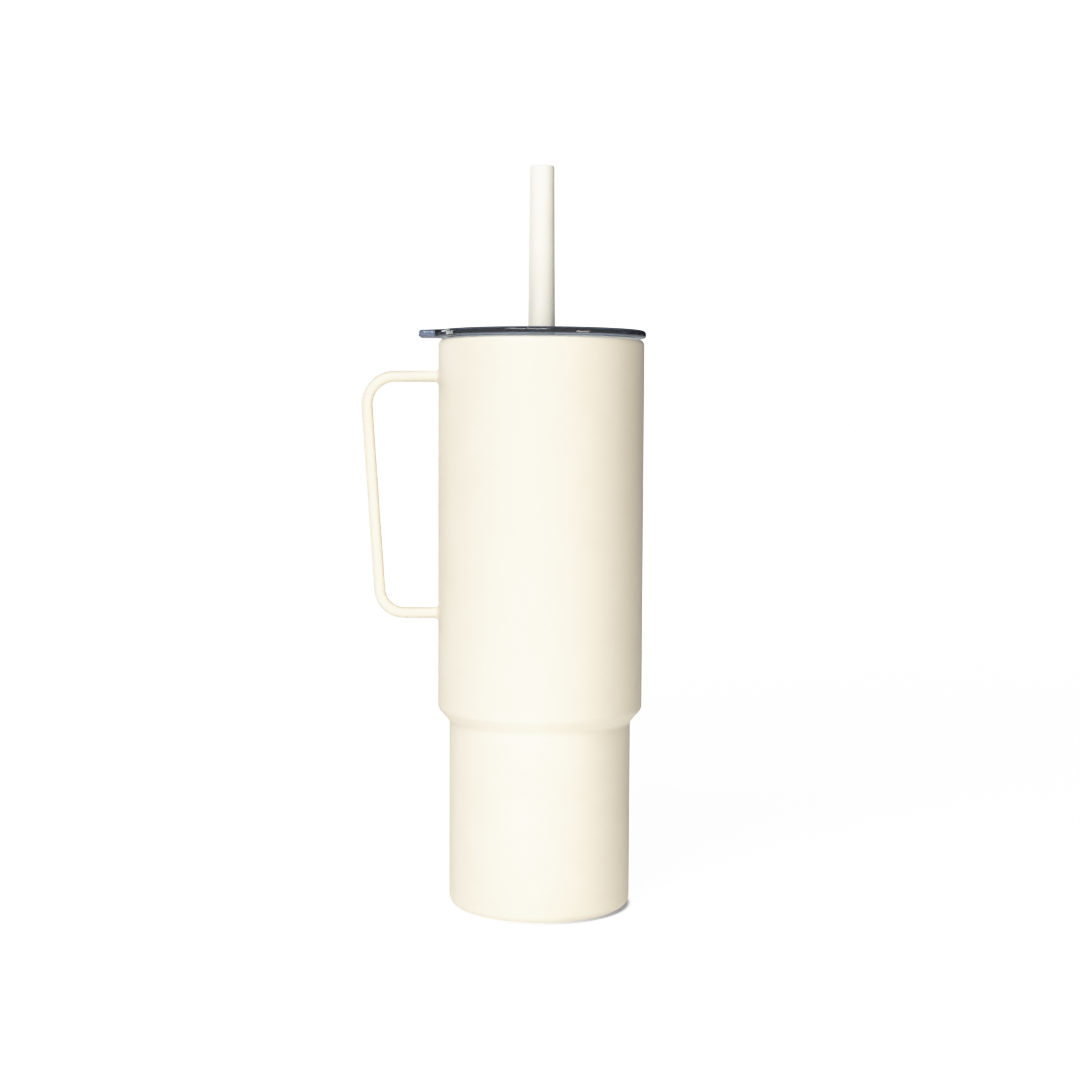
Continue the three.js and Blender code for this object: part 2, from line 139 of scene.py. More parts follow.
class Bench:
    """The modelling operators, worked on one new object at a time."""

    @staticmethod
    def clear() -> None:
        """Leaves edit mode and deselects every object."""
        if bpy.context.mode != "OBJECT":
            bpy.ops.object.mode_set(mode="OBJECT")
        bpy.ops.object.select_all(action="DESELECT")

    @staticmethod
    def name(label: str) -> bpy.types.Object:
        """Names the object in hand, and its mesh.

        Args:
            label: the name.

        Returns:
            The object.
        """
        made = bpy.context.object
        made.name = label
        made.data.name = label
        return made

    @staticmethod
    def everything(kind: str = "VERT") -> None:
        """Selects all that the object in hand has of one kind: VERT, EDGE or FACE."""
        bpy.ops.mesh.select_mode(type=kind)
        bpy.ops.mesh.select_all(action="SELECT")

    @staticmethod
    def edit() -> None:
        """Opens the object in hand with everything in it selected."""
        bpy.ops.object.mode_set(mode="EDIT")
        Bench.everything()

    @staticmethod
    def close() -> None:
        """Merges doubles, turns the faces outwards and leaves edit mode."""
        bpy.ops.mesh.select_all(action="SELECT")
        bpy.ops.mesh.remove_doubles(threshold=WELD_DISTANCE)
        bpy.ops.mesh.normals_make_consistent(inside=False)
        bpy.ops.object.mode_set(mode="OBJECT")

    @staticmethod
    def settle() -> None:
        """Moves the object's place and turn into its mesh."""
        bpy.ops.object.transform_apply(location=True, rotation=True, scale=True)

    @staticmethod
    def pick(kind: str, test: Test) -> None:
        """Selects the vertices, edges or faces whose every corner passes a test.

        Args:
            kind: VERT, EDGE or FACE.
            test: is given each corner's place, in millimetres.
        """
        bpy.ops.mesh.select_mode(type=kind)
        bpy.ops.mesh.select_all(action="DESELECT")
        bpy.ops.object.mode_set(mode="OBJECT")
        mesh = bpy.context.object.data
        passed = [test(v.co / MM) for v in mesh.vertices]
        for vertex in mesh.vertices:
            vertex.select = kind == "VERT" and passed[vertex.index]
        if kind != "VERT":
            for part in mesh.edges if kind == "EDGE" else mesh.polygons:
                part.select = all(passed[i] for i in part.vertices)
        bpy.ops.object.mode_set(mode="EDIT")

    @staticmethod
    def level(height: float) -> Test:
        """A test that points at one height pass."""
        return lambda point: abs(point.z - height) < TOUCH

    @staticmethod
    def fillet(radius: float, steps: int, kind: str = "EDGES") -> None:
        """Rounds what is selected.

        Args:
            radius: how far from the corner the rounding starts, in millimetres.
            steps: edges in the rounding.
            kind: EDGES or VERTICES.
        """
        bpy.ops.mesh.bevel(offset=radius * MM, segments=steps, profile=0.5, affect=kind)

    @staticmethod
    def start_point(at: Vector) -> None:
        """Starts a new mesh as a single vertex, in edit mode.

        Args:
            at: its place, in millimetres.
        """
        Bench.clear()
        bpy.ops.mesh.primitive_plane_add(size=MM)
        Bench.edit()
        bpy.ops.mesh.merge(type="CENTER")
        bpy.ops.transform.translate(value=at * MM)

    @staticmethod
    def draw_to(step: Vector) -> None:
        """Extrudes what is selected by a step, in millimetres."""
        bpy.ops.mesh.extrude_region_move(TRANSFORM_OT_translate={"value": step * MM})

    @staticmethod
    def sweep(centre: Vector, axis: Vector, angle: float, steps: int) -> None:
        """Sweeps what is selected round an axis, by the right-hand rule.

        Args:
            centre: a point on the axis, in millimetres.
            axis: its direction.
            angle: how far, in radians.
            steps: how many stretches.
        """
        bpy.ops.mesh.spin(steps=steps, angle=-angle, center=centre * MM, axis=axis)

    @staticmethod
    def turn(
        label: str,
        section: Sequence[Corner],
        sides: int,
        axis_at: Vector = ORIGIN,
        axis: Vector = UP,
    ) -> bpy.types.Object:
        """Turns a closed section about an axis, as on a lathe.

        Args:
            label: the piece's name.
            section: its corners in order, in the half plane that the axis bounds.
            sides: facets round the piece.
            axis_at: the foot of the axis, in millimetres.
            axis: its direction, Z or minus X.

        Returns:
            The closed, outward-facing piece.
        """
        across = Vector((1, 0, 0)) if abs(axis.z) > 0.5 else Vector((0, 0, 1))
        places = [axis_at + across * c.radius + axis * c.height for c in section]
        Bench.start_point(places[0])
        for before, after in zip(places, places[1:]):
            Bench.draw_to(after - before)
        bpy.ops.mesh.select_all(action="SELECT")
        bpy.ops.mesh.edge_face_add()
        for i, corner in enumerate(section):
            if corner.round <= 0:
                continue
            here = places[i]
            into = (here - places[i - 1]).normalized()
            out = (places[(i + 1) % len(places)] - here).normalized()
            reach = corner.round * math.tan(into.angle(out) / 2)
            Bench.pick("VERT", lambda point, at=here: (point - at).length < TOUCH)
            Bench.fillet(reach, corner.steps, "VERTICES")
        Bench.everything("FACE")
        bpy.ops.mesh.delete(type="ONLY_FACE")
        Bench.everything()
        bpy.ops.mesh.spin(
            steps=sides, angle=TURN, center=axis_at * MM, axis=axis, use_auto_merge=True
        )
        Bench.close()
        return Bench.name(label)

    @staticmethod
    def disc(
        label: str, centre: Vector, radius: float, height: float, rounding: float, sides: int
    ) -> bpy.types.Object:
        """A flat disc with rounded edges.

        Args:
            label: the piece's name.
            centre: the middle of its lower face, in millimetres.
            radius: its radius.
            height: its height.
            rounding: the fillet on both of its edges.
            sides: facets round it.

        Returns:
            The disc.
        """
        Bench.clear()
        bpy.ops.mesh.primitive_cylinder_add(
            vertices=sides,
            radius=radius * MM,
            depth=height * MM,
            location=(centre + Vector((0, 0, height / 2))) * MM,
        )
        Bench.settle()
        Bench.edit()
        for level in (centre.z, centre.z + height):
            Bench.pick("EDGE", Bench.level(level))
            Bench.fillet(rounding, 3)
        Bench.close()
        return Bench.name(label)

    @staticmethod
    def cut(piece: bpy.types.Object, tool: bpy.types.Object) -> None:
        """Cuts one object out of another and throws the tool away.

        Args:
            piece: what is cut.
            tool: what it is cut with.
        """
        Bench.clear()
        bpy.context.view_layer.objects.active = piece
        piece.select_set(True)
        modifier = piece.modifiers.new("cut", "BOOLEAN")
        modifier.operation = "DIFFERENCE"
        modifier.solver = "EXACT"
        modifier.object = tool
        bpy.ops.object.modifier_apply(modifier=modifier.name)
        bpy.data.objects.remove(tool)

    @staticmethod
    def join(label: str, pieces: Sequence[bpy.types.Object]) -> bpy.types.Object:
        """Joins objects into the first of them.

        Args:
            label: the joined piece's name.
            pieces: the objects, the kept one first.

        Returns:
            The joined object.
        """
        Bench.clear()
        for piece in pieces:
            piece.select_set(True)
        bpy.context.view_layer.objects.active = pieces[0]
        bpy.ops.object.join()
        return Bench.name(label)

    @staticmethod
    def smooth(piece: bpy.types.Object, crease: float) -> None:
        """Shades a piece smooth except over its sharp edges.

        Args:
            piece: the object.
            crease: the smallest angle left sharp, in degrees.
        """
        Bench.clear()
        piece.select_set(True)
        bpy.context.view_layer.objects.active = piece
        bpy.ops.object.shade_smooth_by_angle(angle=math.radians(crease))


# ------------------------------------------------------------ shader groups


class Kind(Enum):
    """Socket types of a shader group."""

    NUMBER = "NodeSocketFloat"
    COLOUR = "NodeSocketColor"
    PLACE = "NodeSocketVector"


class Recipe:
    """A node tree being wired up."""

    def __init__(self, tree: bpy.types.NodeTree) -> None:
        """Takes the tree to be wired."""
        self.tree = tree

    def add(self, kind: str, **values: object) -> bpy.types.Node:
        """Adds a node.

        Args:
            kind: the node type's identifier, without its ShaderNode prefix.
            values: properties to set, or input sockets to fill or link, with _ for a space.

        Returns:
            The node.
        """
        node = self.tree.nodes.new("ShaderNode" + kind)
        for key, value in values.items():
            if key in node.bl_rna.properties:
                setattr(node, key, value)
        for key, value in values.items():
            if key not in node.bl_rna.properties:
                self.feed(node, key.replace("_", " "), value)
        return node

    def feed(self, node: bpy.types.Node, socket: str | int, value: object) -> None:
        """Links an output to an input socket, or sets the input's value.

        Args:
            node: the node that is fed.
            socket: its input's name, or its number.
            value: an output socket or a plain value.
        """
        target = node.inputs[int(socket) if str(socket).isdigit() else socket]
        if isinstance(value, bpy.types.NodeSocket):
            self.tree.links.new(value, target)
        else:
            target.default_value = value

    def maths(self, operation: str, *values: object) -> bpy.types.NodeSocket:
        """Works out a sum with a Math node.

        Args:
            operation: the node's operation.
            values: its inputs, as sockets or numbers.

        Returns:
            The result.
        """
        node = self.tree.nodes.new("ShaderNodeMath")
        node.operation = operation
        for i, value in enumerate(values):
            self.feed(node, i, value)
        return node.outputs[0]

    def noise(self, place: object, scale: object, detail: float) -> bpy.types.NodeSocket:
        """Noise between 0 and 1.

        Args:
            place: where it is read.
            scale: cells in a metre.
            detail: octaves.

        Returns:
            The noise value.
        """
        node = self.add("TexNoise", Vector=place, Scale=scale, Detail=detail)
        return node.outputs["Fac"]

    def spread(
        self, value: object, low: float, high: float, to_low: object, to_high: object
    ) -> bpy.types.NodeSocket:
        """Maps a range to another, held at both ends.

        Args:
            value: what is mapped.
            low: the range's low end.
            high: its high end.
            to_low: the result at the low end.
            to_high: the result at the high end.

        Returns:
            The mapped value.
        """
        node = self.tree.nodes.new("ShaderNodeMapRange")
        for i, item in enumerate((value, low, high, to_low, to_high)):
            self.feed(node, i, item)
        return node.outputs[0]

    def blend(
        self, factor: object, first: object, second: object, colours: bool
    ) -> bpy.types.NodeSocket:
        """Mixes two colours, or two numbers.

        Args:
            factor: 0 for the first, 1 for the second.
            first: a socket.
            second: a socket.
            colours: whether they are colours.

        Returns:
            The mixture.
        """
        node = self.tree.nodes.new("ShaderNodeMix")
        node.data_type = "RGBA" if colours else "FLOAT"
        first_input, output = (6, 2) if colours else (2, 0)
        self.feed(node, 0, factor)
        self.feed(node, first_input, first)
        self.feed(node, first_input + 1, second)
        return node.outputs[output]

    def mix_shaders(
        self, factor: object, first: bpy.types.Node, second: bpy.types.Node
    ) -> bpy.types.NodeSocket:
        """Mixes two shaders.

        Args:
            factor: 0 for the first, 1 for the second.
            first: a shader node.
            second: a shader node.

        Returns:
            The mixed shader.
        """
        node = self.add("MixShader")
        for i, value in enumerate((factor, first.outputs[0], second.outputs[0])):
            self.feed(node, i, value)
        return node.outputs[0]


@dataclass(frozen=True)
class Port:
    """One input or output of a shader group."""

    name: str
    kind: Kind
    default: object = None


class Effect(Enum):
    """Surface effects that several finishes share."""

    GRAIN = "Fine Grain"
    MOTTLE = "Colour Mottle"
    HANDLING = "Handling Marks"
    TURNED = "Turned Marks"


class EffectShelf:
    """Builds each shared effect once and places it where a finish asks for it."""

    def __init__(self) -> None:
        """Starts with no effect built."""
        self.makers: dict[Effect, Callable[[], bpy.types.NodeTree]] = {
            Effect.GRAIN: self.grain,
            Effect.MOTTLE: self.mottle,
            Effect.HANDLING: self.handling,
            Effect.TURNED: self.turned,
        }
        self.built: dict[Effect, bpy.types.NodeTree] = {}

    def place(self, recipe: Recipe, effect: Effect, **values: object) -> bpy.types.Node:
        """Places an effect in a material.

        Args:
            recipe: the material being wired.
            effect: which effect.
            values: its inputs, with _ for a space.

        Returns:
            The group node.
        """
        if effect not in self.built:
            self.built[effect] = self.makers[effect]()
        node = recipe.tree.nodes.new("ShaderNodeGroup")
        node.node_tree = self.built[effect]
        node.label = effect.value
        for key, value in values.items():
            recipe.feed(node, key.replace("_", " "), value)
        return node

    @staticmethod
    def open(
        effect: Effect, inputs: Sequence[Port], outputs: Sequence[Port]
    ) -> tuple[Recipe, bpy.types.Node, bpy.types.Node]:
        """Starts a group with named sockets.

        Args:
            effect: gives the group its name.
            inputs: its inputs.
            outputs: its outputs.

        Returns:
            The recipe, the group's input node and its output node.
        """
        tree = bpy.data.node_groups.new(effect.value, "ShaderNodeTree")
        for ports, way in ((inputs, "INPUT"), (outputs, "OUTPUT")):
            for port in ports:
                socket = tree.interface.new_socket(
                    name=port.name, in_out=way, socket_type=port.kind.value
                )
                if port.default is not None:
                    socket.default_value = port.default
        return (
            Recipe(tree),
            tree.nodes.new("NodeGroupInput"),
            tree.nodes.new("NodeGroupOutput"),
        )

    def grain(self) -> bpy.types.NodeTree:
        """Fine pebbled relief in two sizes, for coats and moulded skins.

        Returns:
            The group.
        """
        recipe, given, result = self.open(
            Effect.GRAIN,
            [
                Port("Place", Kind.PLACE),
                Port("Scale", Kind.NUMBER, 1500.0),
                Port("Fineness", Kind.NUMBER, 0.4),
            ],
            [Port("Height", Kind.NUMBER)],
        )
        place, scale = given.outputs["Place"], given.outputs["Scale"]
        finer = 3.1
        pebble = recipe.noise(place, scale, 1.0)
        dust = recipe.noise(place, recipe.maths("MULTIPLY", scale, finer), 2.0)
        recipe.feed(result, "Height", recipe.blend(given.outputs["Fineness"], pebble, dust, False))
        return recipe.tree

    def mottle(self) -> bpy.types.NodeTree:
        """Slow and fine drift between two close shades.

        Returns:
            The group.
        """
        recipe, given, result = self.open(
            Effect.MOTTLE,
            [
                Port("Place", Kind.PLACE),
                Port("Shade", Kind.COLOUR),
                Port("Other Shade", Kind.COLOUR),
                Port("Scale", Kind.NUMBER, 60.0),
            ],
            [Port("Colour", Kind.COLOUR)],
        )
        place, scale = given.outputs["Place"], given.outputs["Scale"]
        finer, slow_share = 17.0, 0.6
        slow = recipe.noise(place, scale, 3.0)
        fine = recipe.noise(place, recipe.maths("MULTIPLY", scale, finer), 2.0)
        both = recipe.maths(
            "ADD",
            recipe.maths("MULTIPLY", slow, slow_share),
            recipe.maths("MULTIPLY", fine, 1 - slow_share),
        )
        factor = recipe.spread(both, *NOISE_SPAN, 0.0, 1.0)
        shade = recipe.blend(factor, given.outputs["Shade"], given.outputs["Other Shade"], True)
        recipe.feed(result, "Colour", shade)
        return recipe.tree

    def handling(self) -> bpy.types.NodeTree:
        """Roughness that drifts as on a handled surface.

        Returns:
            The group.
        """
        recipe, given, result = self.open(
            Effect.HANDLING,
            [
                Port("Place", Kind.PLACE),
                Port("Roughness", Kind.NUMBER, 0.5),
                Port("Drift", Kind.NUMBER, 0.05),
                Port("Scale", Kind.NUMBER, 45.0),
            ],
            [Port("Roughness", Kind.NUMBER)],
        )
        smear = recipe.noise(given.outputs["Place"], given.outputs["Scale"], 4.0)
        swing = recipe.spread(smear, *WIDE_NOISE_SPAN, -1.0, 1.0)
        drift = recipe.maths("MULTIPLY", swing, given.outputs["Drift"])
        recipe.feed(result, "Roughness", recipe.maths("ADD", given.outputs["Roughness"], drift))
        return recipe.tree

    def turned(self) -> bpy.types.NodeTree:
        """Rings that a lathe or a polishing belt leaves round the Z axis.

        Returns:
            The group.
        """
        recipe, given, result = self.open(
            Effect.TURNED,
            [
                Port("Place", Kind.PLACE),
                Port("Rings", Kind.NUMBER, 2200.0),
                Port("Wander", Kind.NUMBER, 6.0),
            ],
            [Port("Height", Kind.NUMBER), Port("Streak", Kind.NUMBER)],
        )
        split = recipe.add("SeparateXYZ", Vector=given.outputs["Place"])
        across = recipe.maths("POWER", split.outputs["X"], 2.0)
        along = recipe.maths("POWER", split.outputs["Y"], 2.0)
        radius = recipe.maths("SQRT", recipe.maths("ADD", across, along))
        rings = given.outputs["Rings"]
        angle = recipe.maths("ARCTAN2", split.outputs["Y"], split.outputs["X"])
        swirl = recipe.add(
            "CombineXYZ",
            X=recipe.maths("MULTIPLY", radius, rings),
            Y=recipe.maths("MULTIPLY", split.outputs["Z"], rings),
            Z=recipe.maths("MULTIPLY", recipe.maths("SINE", angle), given.outputs["Wander"]),
        )
        streak = recipe.noise(swirl.outputs["Vector"], 1.0, 3.0)
        recipe.feed(result, "Height", streak)
        recipe.feed(result, "Streak", recipe.spread(streak, *NOISE_SPAN, 0.0, 1.0))
        return recipe.tree


# ------------------------------------------------------------ finishes


class Surface:
    """A material being wired: its shader, its output and its object coordinates."""

    def __init__(self, name: str, shelf: EffectShelf) -> None:
        """Starts a material.

        Args:
            name: the material's name.
            shelf: where shared effects come from.
        """
        self.material = bpy.data.materials.new(name)
        self.material.use_nodes = True
        self.material.node_tree.nodes.clear()
        self.shelf = shelf
        self.recipe = Recipe(self.material.node_tree)
        self.shader = self.recipe.add("BsdfPrincipled")
        self.output = self.recipe.add("OutputMaterial", Surface=self.shader.outputs[0])
        self.place = self.recipe.add("TexCoord").outputs["Object"]

    def effect(self, effect: Effect, **values: object) -> bpy.types.NodeOutputs:
        """Places a shared effect.

        Args:
            effect: which effect.
            values: its inputs, with _ for a space.

        Returns:
            Its outputs.
        """
        return self.shelf.place(self.recipe, effect, Place=self.place, **values).outputs

    def colour(self, shade: Rgb, other: Rgb, scale: float) -> None:
        """Gives the surface two close shades that drift into each other.

        Args:
            shade: the main colour.
            other: the colour that it drifts to.
            scale: cells of that drift in a metre.
        """
        mottle = self.effect(Effect.MOTTLE, Shade=(*shade, 1), Other_Shade=(*other, 1), Scale=scale)
        self.give(Base_Color=mottle["Colour"])

    def relief(self, height: bpy.types.NodeSocket, depth: float, strength: float) -> None:
        """Gives the surface a fine relief.

        Args:
            height: the relief's pattern.
            depth: its height, in millimetres.
            strength: how far it counts.
        """
        bump = self.recipe.add("Bump", Strength=strength, Distance=depth * MM, Height=height)
        self.give(Normal=bump.outputs["Normal"])

    def give(self, **values: object) -> None:
        """Sets or links the shader's sockets, named with _ for a space."""
        for key, value in values.items():
            self.recipe.feed(self.shader, key.replace("_", " "), value)


@dataclass(frozen=True)
class Finish:
    """What every finish has.

    Attributes:
        slot: the record's slot that it stands for.
    """

    slot: Slot

    def material(self, shelf: EffectShelf) -> bpy.types.Material:
        """Builds the material.

        Args:
            shelf: where shared effects come from.

        Returns:
            The finished material.
        """
        surface = Surface(self.slot.value, shelf)
        self.dress(surface)
        return surface.material

    def dress(self, surface: Surface) -> None:
        """Wires this finish's own nodes; each kind of finish has its own way."""
        raise NotImplementedError


@dataclass(frozen=True)
class GrainyFinish(Finish):
    """An opaque skin with a fine relief: a powder coat, silicone or moulded plastic.

    Attributes:
        shade: the main colour.
        other: the colour that it drifts to.
        mottle: cells of that drift in a metre.
        roughness: mean roughness.
        drift: how far the roughness swings.
        grain: relief cells in a metre.
        fineness: share of the finer relief.
        depth: the relief's height, in millimetres.
        specular: strength of the mirror-like part.
        sheen: soft glow at grazing angles.
        coat: clear top layer.
        depth_glow: share of the light that passes through the skin and spreads under it.
        glow_reach: how far that light spreads, in millimetres.
        glow_tint: the share of that reach for red, green and blue.
    """

    shade: Rgb
    other: Rgb
    mottle: float
    roughness: float
    drift: float
    grain: float
    fineness: float
    depth: float
    specular: float = 0.5
    sheen: float = 0.0
    coat: float = 0.0
    depth_glow: float = 0.0
    glow_reach: float = 1.0
    glow_tint: Rgb = (1.0, 0.8, 0.55)

    def dress(self, surface: Surface) -> None:
        """Wires the colour drift, the handling marks and the relief.

        Args:
            surface: the material being wired.
        """
        surface.colour(self.shade, self.other, self.mottle)
        marks = surface.effect(Effect.HANDLING, Roughness=self.roughness, Drift=self.drift)
        grain = surface.effect(Effect.GRAIN, Scale=self.grain, Fineness=self.fineness)
        surface.relief(grain["Height"], self.depth, 1.0)
        surface.give(
            Roughness=marks["Roughness"],
            Specular_IOR_Level=self.specular,
            Sheen_Weight=self.sheen,
            Coat_Weight=self.coat,
            Subsurface_Weight=self.depth_glow,
            Subsurface_Scale=self.glow_reach * MM,
            Subsurface_Radius=self.glow_tint,
        )


@dataclass(frozen=True)
class TurnedMetal(Finish):
    """Bare metal with the rings of its polishing.

    Attributes:
        shade: the metal's colour.
        tarnish: the colour of its duller streaks.
        roughness: of the bright streaks.
        dull: of the dull streaks.
        rings: rings in a metre.
        depth: the rings' depth, in millimetres.
        mottle: cells of its colour drift in a metre.
        relief: how far the rings' depth counts.
    """

    shade: Rgb
    tarnish: Rgb
    roughness: float
    dull: float
    rings: float
    depth: float
    mottle: float = 90.0
    relief: float = 0.6

    def dress(self, surface: Surface) -> None:
        """Wires the rings to colour, roughness and relief.

        Args:
            surface: the material being wired.
        """
        surface.colour(self.shade, self.tarnish, self.mottle)
        rings = surface.effect(Effect.TURNED, Rings=self.rings)
        surface.relief(rings["Height"], self.depth, self.relief)
        dull = surface.recipe.spread(rings["Streak"], 0.0, 1.0, self.roughness, self.dull)
        surface.give(Metallic=1.0, Roughness=dull)


@dataclass(frozen=True)
class SmokedClear(Finish):
    """Clear plastic, tinted through its thickness.

    Attributes:
        skin: colour of the light that crosses its surface.
        tint: colour that its body keeps.
        strength: how fast its body takes light away, for each metre.
        clearness: share of the light that its surface lets in.
        roughness: of its polish.
        index: refractive index.
        depth: height of its moulding ripple, in millimetres.
        ripples: cells of that ripple in a metre.
        relief: how far the ripple counts.
        clouding: share of the skin's colour left where it is dullest.
        clouds: cells of that dulling in a metre.
        drift: how far the roughness swings.
        smears: cells of that swing in a metre.
    """

    skin: Rgb
    tint: Rgb
    strength: float
    clearness: float
    roughness: float
    index: float
    depth: float
    ripples: float = 55.0
    relief: float = 0.5
    clouding: float = 0.97
    clouds: float = 35.0
    drift: float = 0.02
    smears: float = 70.0

    def dress(self, surface: Surface) -> None:
        """Wires the polish marks, the moulding ripple and the tinted body.

        Args:
            surface: the material being wired.
        """
        red, green, blue = (self.clouding * part for part in self.skin)
        surface.colour(self.skin, (red, green, blue), self.clouds)
        marks = surface.effect(
            Effect.HANDLING, Roughness=self.roughness, Drift=self.drift, Scale=self.smears
        )
        surface.relief(surface.recipe.noise(surface.place, self.ripples, 1.0), self.depth, self.relief)
        surface.give(Roughness=marks["Roughness"], Transmission_Weight=self.clearness, IOR=self.index)
        body = surface.recipe.add("VolumeAbsorption", Color=(*self.tint, 1), Density=self.strength)
        surface.recipe.feed(surface.output, "Volume", body.outputs[0])


FINISHES: tuple[Finish, ...] = (
    GrainyFinish(
        slot=Slot.COAT, shade=(0.875, 0.808, 0.677), other=(0.850, 0.783, 0.651), mottle=70.0,
        roughness=0.52, drift=0.05, grain=1300.0, fineness=0.45, depth=0.05,
    ),
    TurnedMetal(
        slot=Slot.STEEL, shade=(0.62, 0.61, 0.59), tarnish=(0.52, 0.51, 0.49), roughness=0.24,
        dull=0.42, rings=2600.0, depth=0.012,
    ),
    TurnedMetal(
        slot=Slot.FOIL, shade=(0.86, 0.47, 0.30), tarnish=(0.70, 0.34, 0.20), roughness=0.2,
        dull=0.45, rings=500.0, depth=0.03,
    ),
    GrainyFinish(
        slot=Slot.GETTER, shade=(0.11, 0.105, 0.10), other=(0.17, 0.165, 0.155), mottle=900.0,
        roughness=0.85, drift=0.1, grain=3200.0, fineness=0.3, depth=0.12, specular=0.4,
    ),
    GrainyFinish(
        slot=Slot.BEAD, shade=(0.15, 0.09, 0.045), other=(0.09, 0.055, 0.03), mottle=700.0,
        roughness=0.2, drift=0.08, grain=1800.0, fineness=0.2, depth=0.05, coat=0.5,
    ),
    SmokedClear(
        slot=Slot.LID, skin=(0.84, 0.91, 1.0), tint=(0.593, 0.643, 0.713), strength=250.0,
        clearness=0.95, roughness=0.035, index=1.54, depth=0.008,
    ),
    GrainyFinish(
        slot=Slot.SEAL, shade=(0.74, 0.75, 0.74), other=(0.68, 0.69, 0.69), mottle=160.0,
        roughness=0.42, drift=0.06, grain=900.0, fineness=0.3, depth=0.02, sheen=0.15,
    ),
    GrainyFinish(
        slot=Slot.MOUTH, shade=(0.940, 0.895, 0.800), other=(0.920, 0.870, 0.770), mottle=110.0,
        roughness=0.6, drift=0.06, grain=2100.0, fineness=0.5, depth=0.02, sheen=0.12,
        depth_glow=0.3, glow_reach=2.5,
    ),
    GrainyFinish(
        slot=Slot.TUBE, shade=(0.80, 0.765, 0.66), other=(0.765, 0.73, 0.62), mottle=80.0,
        roughness=0.36, drift=0.06, grain=1500.0, fineness=0.35, depth=0.015, coat=0.15,
    ),
)


class Paintbox:
    """Every finish as a material, made when first asked for."""

    def __init__(self) -> None:
        """Starts with no material made."""
        self.shelf = EffectShelf()
        self.finishes = {finish.slot: finish for finish in FINISHES}
        self.made: dict[Slot, bpy.types.Material] = {}

    def material(self, slot: Slot) -> bpy.types.Material:
        """The material of one slot.

        Args:
            slot: which finish.

        Returns:
            Its material.
        """
        if slot not in self.made:
            self.made[slot] = self.finishes[slot].material(self.shelf)
        return self.made[slot]

    def coat(self, piece: bpy.types.Object, slot: Slot) -> None:
        """Gives a piece one finish all over.

        Args:
            piece: the object.
            slot: which finish.
        """
        piece.data.materials.clear()
        piece.data.materials.append(self.material(slot))


# ------------------------------------------------------------ sub-assemblies


@dataclass
class SubAssembly:
    """Pieces that are built and dressed together."""

    paints: Paintbox

    def install(
        self, piece: bpy.types.Object, body: Body, slot: Slot, nodes: Sequence[str], crease: float = 32.0
    ) -> None:
        """Shades, paints and fixes a new piece in place of frame nodes.

        Args:
            piece: the new piece.
            body: what it moves with.
            slot: its finish.
            nodes: the frame nodes that it stands for.
            crease: the smallest angle left sharp, in degrees.
        """
        Bench.smooth(piece, crease)
        self.paints.coat(piece, slot)
        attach(piece, body.value)
        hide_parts(*nodes)
        log.info("%s: %d faces", piece.name, len(piece.data.polygons))

    def keep(self, node: str, slot: Slot) -> None:
        """Paints a frame node that is shown as it is.

        Args:
            node: its name.
            slot: its finish.
        """
        self.paints.coat(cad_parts[node], slot)
        log.info("%s: kept from the frame", node)


